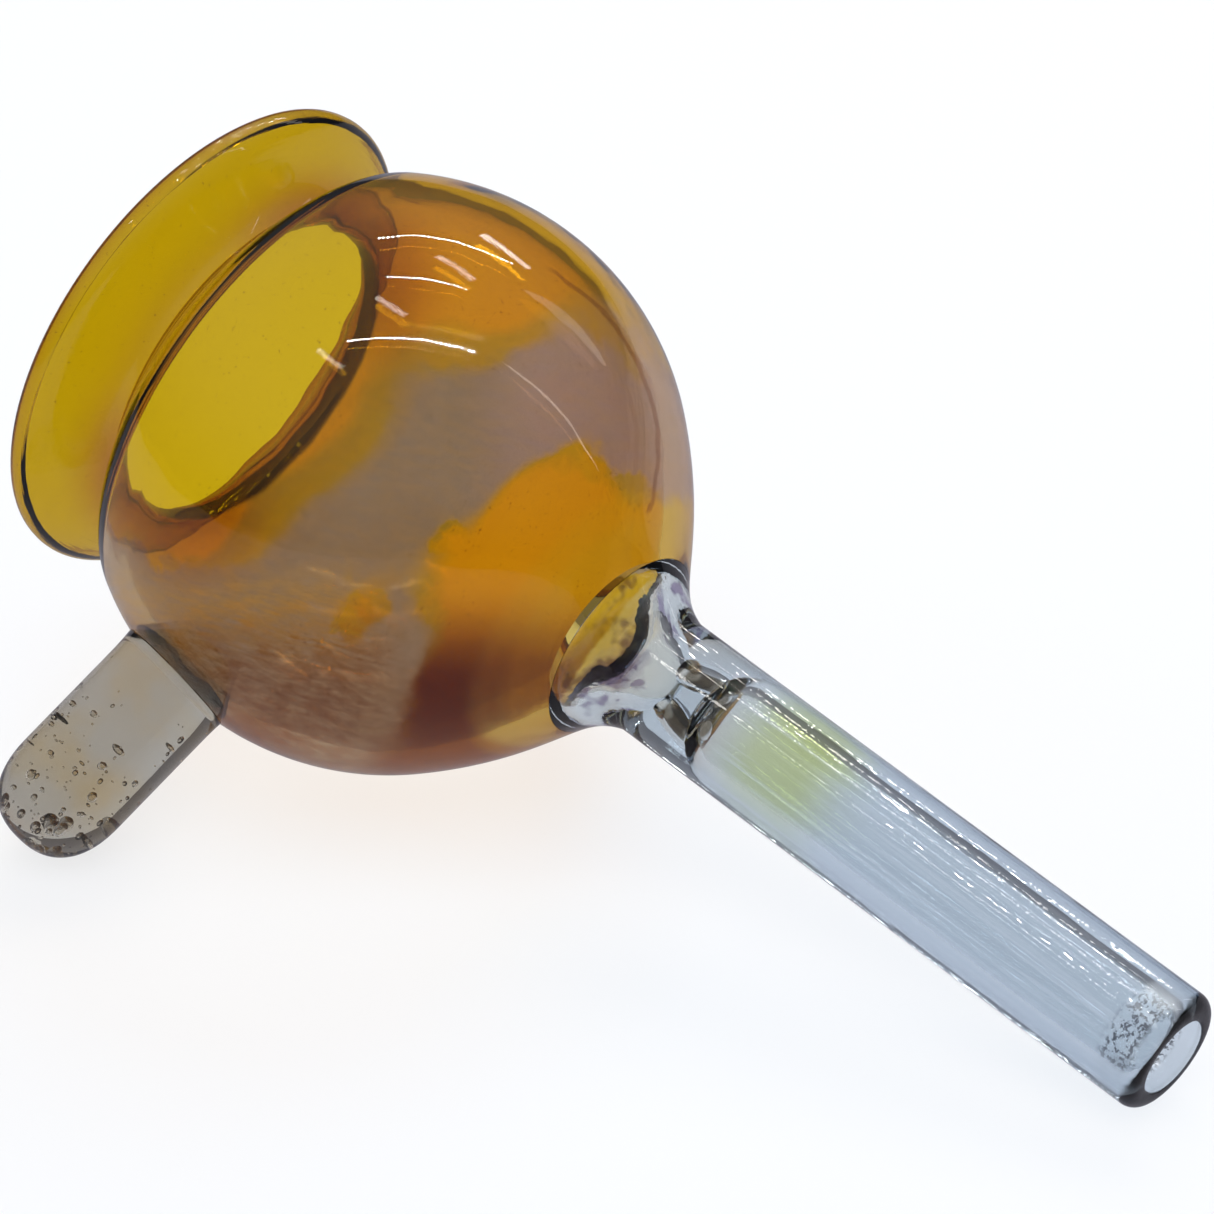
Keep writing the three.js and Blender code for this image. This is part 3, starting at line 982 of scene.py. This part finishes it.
@dataclass
class ClearStem:
    """The clear part: collar, funnel, pinched throat and tube stem."""

    sizes: VesselSizes = SIZES
    steps: int = 112
    pinch_front: float = 32.2
    pinch_back: float = 34.2
    hole_size: Triple = (0.82, 1.25, 3.1)
    hole_lean: float = 10.0
    joint_gap: float = 0.04
    throat_pulls: tuple[Point, Point] = ((2.2, 32.2), (2.0, 28.6))
    throat_edge: Point = (3.6, 26.6)
    cone_pull: Point = (4.6, 25.3)
    lip_rounding: float = 0.3
    sharp: float = 50.0

    def outline(self) -> Outline:
        """The section of the clear body, from the axis round and back to the axis.

        Returns:
            The points, as radius and distance along the axis.
        """
        s = self.sizes
        curve = vessel_curve()
        last = next(i for i, (r, z) in enumerate(curve) if z > 15.0 and r < s.colour_end_radius)
        outer = curve[last:]
        walls = [s.joint_wall] * len(outer)
        ring = inside(curve[:last + 1], [s.joint_wall] * (last + 1))[-1]
        face = (outer[0][0] - ring[0], outer[0][1] - ring[1])
        size = math.hypot(*face)
        along = (-face[1] / size * self.joint_gap, face[0] / size * self.joint_gap)
        outer = [(outer[0][0] + along[0], outer[0][1] + along[1])] + outer[1:]
        ring = (ring[0] + along[0], ring[1] + along[1])
        funnel = bezier((0.0, self.pinch_front), *self.throat_pulls, self.throat_edge, 16)
        funnel += bezier(self.throat_edge, self.cone_pull, (ring[0] - 0.2, ring[1] + 1.6), ring, 14)[1:]
        stem = [(s.stem_radius, 30.0 + i * 4.5) for i in range(11)]
        end = arc((s.stem_radius - s.end_rounding, s.stem_reach - s.end_rounding), s.end_rounding, 0, 90, 10)
        round_lip = self.lip_rounding
        lip = arc((s.stem_bore + round_lip, s.stem_reach - round_lip), round_lip, 90, 180, 5)
        bore = [(s.stem_bore, 77.0 - i * 4.0) for i in range(10)]
        back = bezier((s.stem_bore, 38.0), (s.stem_bore, 35.4), (2.0, self.pinch_back),
                      (0.0, self.pinch_back), 14)
        return funnel + outer + stem + end + lip + bore + back

    def hole(self, side: float) -> Piece:
        """One almond-shaped hole of the pinch, as a cutting body.

        Args:
            side: -1 or 1, for the side of the axis it lies on.

        Returns:
            The cutting body, in the vessel's own frame.
        """
        deselect()
        bpy.ops.mesh.primitive_uv_sphere_add(segments=32, ring_count=20, radius=MM)
        tool = bpy.context.object
        bpy.ops.object.mode_set(mode="EDIT")
        bpy.ops.mesh.select_all(action="SELECT")
        bpy.ops.transform.resize(value=self.hole_size)
        bpy.ops.object.mode_set(mode="OBJECT")
        middle = (self.pinch_front + self.pinch_back) / 2
        lean = Matrix.Rotation(math.radians(side * self.hole_lean), 4, "Y")
        turn = Matrix.Rotation(PINCH_TURN, 4, "Z")
        spot = Matrix.Translation((side * HOLE_OFFSET * MM, 0.0, middle * MM))
        place(tool, turn @ spot @ lean)
        return tool

    def build(self, material: Glass) -> Piece:
        """Makes and dresses the clear body.

        Args:
            material: The clear glass.

        Returns:
            The piece.
        """
        body = spun("clear_stem", self.outline(), self.steps)
        for side in (-1.0, 1.0):
            cut(body, self.hole(side), "DIFFERENCE")
        place(body, VESSEL)
        smooth(body, self.sharp)
        body.data.materials.append(material)
        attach(body, "root")
        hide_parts("joint_collar", "throat_funnel", "pinch_plate", "stem_tube")
        return body


@dataclass
class Handle:
    """The solid clear rod fused to the bulb's side, with seed bubbles in it."""

    radius: float = 5.05
    reach: float = 41.0
    end_rounding: float = 4.6
    end_length: float = 6.2
    fullness: float = 2.4
    shift: float = 1.0
    weld: float = 0.12
    gap: float = 0.04
    root: float = 18.0
    flare: float = 2.2
    sharp: float = 50.0
    bubbles: int = 230
    seed: int = 7
    tries: int = 20000

    def matrix(self) -> Matrix:
        """Where the handle stands: local +Z runs outwards along it."""
        return frame_along(HANDLE_DIRECTION, CENTRE - STEM_DIRECTION * self.shift * MM)

    def outline(self) -> Outline:
        """The rod's section, from the axis at its foot to the axis at its end.

        Returns:
            The points, as radius and distance along the axis.
        """
        r = self.radius
        foot = math.sqrt(SIZES.bulb_radius ** 2 - r ** 2)
        flare = bezier((r + self.weld, foot - 0.5), (r + self.weld, foot - 0.1), (r, foot + 0.3),
                       (r, foot + self.flare), 10)
        shaft = [(r, foot + self.flare + i * 1.5) for i in range(1, 6)]
        end = self.rounded_end(24)
        return [(0.0, self.root), (r + self.weld, self.root)] + flare + shaft + end

    def rounded_end(self, steps: int) -> Outline:
        """The rod's end, whose curve grows tighter little by little instead of starting at once.

        Args:
            steps: Number of pieces the curve is divided into.

        Returns:
            The points, from the rod's side to the axis.
        """
        start = self.reach - self.end_length
        points = []
        for i in range(steps + 1):
            a = math.pi / 2 * i / steps
            points.append((self.radius * max(0.0, math.cos(a)) ** (2 / self.fullness),
                           start + self.end_length * math.sin(a) ** (2 / self.fullness)))
        return points[:-1] + [(0.0, self.reach)]

    def seeds(self) -> list[Piece]:
        """Small air pockets scattered through the rod, denser near its end and its skin.

        Returns:
            One object for each pocket, facing into the pocket.
        """
        rng = random.Random(self.seed)
        placed: list[tuple[Vector, float]] = []
        made = []
        for _ in range(self.tries):
            if len(placed) == self.bubbles:
                break
            along = 25.6 + 15.2 * rng.random() ** 0.5
            size = 0.06 + 0.34 * rng.random() ** 3.6
            limit = self.radius - 0.35 - size
            over = along - (self.reach - self.end_rounding)
            if over > 0:
                limit = (self.radius - self.end_rounding
                         + math.sqrt(max(0.0, (self.end_rounding - 0.4 - size) ** 2 - over ** 2)))
            if limit < 0.3:
                continue
            out = limit * rng.random() ** 0.33
            turn = rng.random() * math.tau
            spot = Vector((out * math.cos(turn), out * math.sin(turn), along))
            if any((spot - other).length < size + r + 0.12 for other, r in placed):
                continue
            placed.append((spot, size))
            deselect()
            bpy.ops.mesh.primitive_ico_sphere_add(subdivisions=2, radius=size * MM)
            pocket = bpy.context.object
            bpy.ops.object.mode_set(mode="EDIT")
            bpy.ops.mesh.select_all(action="SELECT")
            stretch = 1.0 + 0.8 * rng.random() ** 2
            bpy.ops.transform.resize(value=(1.0, 1.0, stretch))
            bpy.ops.mesh.flip_normals()
            bpy.ops.object.mode_set(mode="OBJECT")
            place(pocket, Matrix.Translation(spot * MM))
            made.append(pocket)
        return made

    def build(self, material: Glass) -> Piece:
        """Makes and dresses the handle.

        Args:
            material: The handle's glass.

        Returns:
            The piece.
        """
        rod = spun("handle", self.outline(), 72)
        place(rod, self.matrix())
        deselect()
        bpy.ops.mesh.primitive_uv_sphere_add(
            segments=144, ring_count=96, radius=(SIZES.bulb_radius + self.gap) * MM, location=CENTRE)
        cut(rod, bpy.context.object, "DIFFERENCE")
        pockets = join(self.seeds())
        place(pockets, self.matrix())
        join([rod, pockets])
        smooth(rod, self.sharp)
        rod.data.materials.clear()
        rod.data.materials.append(material)
        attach(rod, "root")
        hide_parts("handle_weld", "handle_rod")
        return rod


@dataclass(frozen=True)
class LampRow:
    """A straight row of lamps overhead; its sizes are in metres and each lamp's are half widths."""

    name: str
    direction: Triple
    run: Triple
    length: float
    count: int
    lamp: tuple[float, float]
    strength: float
    along_stem: float = 0.0
    colour: Colour = (1.0, 0.97, 0.92)


STEM_RUN = (0.971, 0.0, -0.239)
LAMP_ROWS = (
    LampRow("row over", (0.20, 0.0, 0.98), (0.69, 0.70, -0.16), 0.54, 30, (0.0032, 0.0036), 330.0),
    LampRow("row behind", (-0.27, 0.65, 0.70), (0.70, 0.64, -0.32), 0.40, 28, (0.0028, 0.0034), 330.0),
    LampRow("row between", (-0.07, 0.39, 0.92), (0.74, 0.64, -0.22), 0.28, 20, (0.0026, 0.0030), 300.0),
    LampRow("strip over", (0.69, 0.50, 0.53), (0.38, 0.39, -0.84), 0.56, 1, (0.26, 0.006), 5.0),
    LampRow("strip behind", (0.24, 0.86, 0.46), (0.45, 0.14, -0.88), 0.0, 1, (0.20, 0.035), 1.6),
    LampRow("stem row 1", (-0.14, -0.38, 0.91), STEM_RUN, 0.15, 34, (0.0011, 0.016), 14.0, 42.0),
    LampRow("stem row 2", (-0.12, 0.10, 0.99), STEM_RUN, 0.16, 36, (0.0012, 0.018), 14.0, 50.0),
    LampRow("stem row 3", (-0.16, 0.55, 0.82), STEM_RUN, 0.16, 36, (0.0012, 0.018), 14.0, 54.0),
    LampRow("stem row 4", (-0.23, 0.81, 0.54), STEM_RUN, 0.16, 36, (0.0012, 0.022), 18.0, 54.0),
)


@dataclass
class Studio:
    """Floor, soft light, small lamp rows and the camera."""

    lens: float = 178.07
    lamp_distance: float = 0.7
    through: Colour = (0.66, 0.68, 0.74)
    mirrored: Colour = (0.30, 0.29, 0.33)
    beyond: Colour = (0.34, 0.33, 0.37)
    pale: Colour = (0.86, 0.865, 0.87)
    dark: Colour = (0.03, 0.03, 0.04)
    horizon: Colour = (0.16, 0.16, 0.185)
    zenith: Colour = (0.92, 0.94, 0.98)
    surround: float = 0.75
    camera: Triple = (0.282289, -0.296728, 0.244567)
    right: Triple = (0.753011, 0.658008, 0.0)
    down: Triple = (0.350024, -0.400560, -0.846779)
    forward: Triple = (-0.557187, 0.637634, -0.531945)

    def floor(self) -> None:
        """A wide plain pale floor, a little dimmer where it is seen through glass or mirrored in it."""
        deselect()
        bpy.ops.mesh.primitive_plane_add(size=3.0, location=(0.0, 0.0, -0.0002))
        floor = bpy.context.object
        floor.name = "floor"
        material = bpy.data.materials.new("pale floor")
        material.use_nodes = True
        shader = material.node_tree.nodes["Principled BSDF"]
        n = Nodes(material.node_tree)
        n.put(shader, {"Roughness": 0.9, "Specular IOR Level": 0.1})
        path = n.add("ShaderNodeLightPath")
        mirrored = n.times(path.outputs["Is Glossy Ray"], path.outputs["Is Reflection Ray"])
        seen = n.blend(path.outputs["Is Transmission Ray"], self.pale, self.through)
        n.link(n.blend(mirrored, seen, self.mirrored), shader.inputs["Base Color"])
        floor.data.materials.append(material)

    def panel(self, name: str, direction: Triple, distance: float,
              size: tuple[float, float], power: float) -> None:
        """A soft panel light that faces the bulb.

        Args:
            name: The light's name.
            direction: Where it stands, seen from the bulb.
            distance: How far away it is, in metres.
            size: Its width and height, in metres.
            power: Its power, in watts.
        """
        light = bpy.data.lights.new(name, "AREA")
        light.shape = "RECTANGLE"
        light.size, light.size_y = size
        light.energy = power
        obj = bpy.data.objects.new(name, light)
        bpy.context.scene.collection.objects.link(obj)
        away = Vector(direction).normalized()
        obj.location = CENTRE + away * distance
        obj.rotation_euler = away.to_track_quat("Z", "Y").to_euler()
        obj.visible_glossy = False
        obj.visible_transmission = False

    def lamp_row(self, row: LampRow) -> None:
        """A row of small lamps, or a soft strip, seen only in the glass.

        Args:
            row: Where it hangs, how long it is and what its lamps are like.
        """
        material = bpy.data.materials.new(row.name)
        material.use_nodes = True
        material.node_tree.nodes.clear()
        n = Nodes(material.node_tree)
        glow = n.add("ShaderNodeEmission")
        n.put(glow, {"Color": (*row.colour, 1.0), "Strength": row.strength})
        out = n.add("ShaderNodeOutputMaterial")
        n.link(glow.outputs[0], out.inputs["Surface"])
        away = Vector(row.direction).normalized()
        run = Vector(row.run).normalized()
        side = away.cross(run).normalized()
        facing = run.cross(side)
        about = CENTRE + STEM_DIRECTION * row.along_stem * MM
        middle = about + away * self.lamp_distance
        half = Vector((row.lamp[0], row.lamp[1], min(row.lamp)))
        turn = Matrix((run * half.x, side * half.y, facing * half.z)).transposed().to_4x4()
        lamps = []
        for i in range(row.count):
            share = i / (row.count - 1) - 0.5 if row.count > 1 else 0.0
            deselect()
            bpy.ops.mesh.primitive_ico_sphere_add(subdivisions=1, radius=1.0)
            lamp = bpy.context.object
            place(lamp, Matrix.Translation(middle + run * row.length * share) @ turn)
            lamps.append(lamp)
        bar = join(lamps)
        bar.name = row.name
        bar.data.materials.clear()
        bar.data.materials.append(material)
        bar.visible_camera = False
        bar.visible_shadow = False
        bar.visible_diffuse = False

    def world(self) -> None:
        """A pale surround that darkens towards the horizon, so that the glass has edges."""
        world = bpy.data.worlds.new("surround")
        bpy.context.scene.world = world
        world.use_nodes = True
        tree = world.node_tree
        tree.nodes.clear()
        n = Nodes(tree)
        coords = n.add("ShaderNodeTexCoord")
        split = n.add("ShaderNodeSeparateXYZ")
        n.link(coords.outputs["Generated"], split.inputs[0])
        height = n.spread(split.outputs["Z"], 0.02, 0.75)
        colour = n.blend(height, self.horizon, self.zenith)
        path = n.add("ShaderNodeLightPath")
        mirrored = n.times(path.outputs["Is Glossy Ray"], path.outputs["Is Reflection Ray"])
        back = n.add("ShaderNodeBackground")
        dimmed = n.blend(n.times(path.outputs["Is Transmission Ray"], 0.6), colour, self.beyond)
        n.link(n.blend(n.times(mirrored, 0.5), dimmed, self.dark), back.inputs["Color"])
        back.inputs["Strength"].default_value = self.surround
        out = n.add("ShaderNodeOutputWorld")
        n.link(back.outputs[0], out.inputs["Surface"])

    def take_camera(self) -> None:
        """Stands the camera at the viewing angle."""
        data = bpy.data.cameras.new("camera")
        data.lens = self.lens
        data.sensor_width = 36.0
        data.clip_start = 0.01
        data.dof.use_dof = False
        camera = bpy.data.objects.new("camera", data)
        bpy.context.scene.collection.objects.link(camera)
        axes = Matrix((Vector(self.right), -Vector(self.down), -Vector(self.forward))).transposed()
        camera.matrix_world = Matrix.Translation(CENTRE + Vector(self.camera)) @ axes.to_4x4()
        bpy.context.scene.camera = camera

    def build(self) -> None:
        """Sets the stage."""
        self.floor()
        self.world()
        self.panel("soft key", (-0.25, 0.65, 0.72), 0.9, (0.5, 0.35), 2.2)
        self.panel("soft top", (0.3, -0.2, 1.0), 1.0, (0.8, 0.8), 4.0)
        self.panel("soft side", (-0.9, -0.6, 0.8), 1.1, (0.5, 0.5), 1.5)
        for row in LAMP_ROWS:
            self.lamp_row(row)
        self.take_camera()
        bpy.context.scene.view_settings.view_transform = "Standard"
        bpy.context.scene.view_settings.look = "None"


def main() -> None:
    """Builds the glass in order and reports each piece."""
    logging.basicConfig(level=logging.INFO, format="%(name)s: %(message)s")
    vessel_coordinates_group()
    hand_waver_group()
    amber = AmberFinish("amber glass", waver=0.8, lines=0.12, rings=0.8, shadow=(1.0, 0.98, 0.95),
                        body=(0.93, 0.85, 0.72), depth=2.0).build()
    clear = ClearFinish("clear glass", lines=2.6, body=(0.62, 0.70, 0.78), depth=8.0).build()
    seeded = SeededFinish("seeded clear glass", waver=0.8, lines=0.6,
                          body=(0.58, 0.55, 0.48), depth=10.0).build()
    pieces = [
        AmberVessel().build(amber),
        ClearStem().build(clear),
        Handle().build(seeded),
    ]
    for piece in pieces:
        LOG.info("%s: %d faces", piece.name, len(piece.data.polygons))
    Studio().build()


if __name__ == "__main__":
    main()
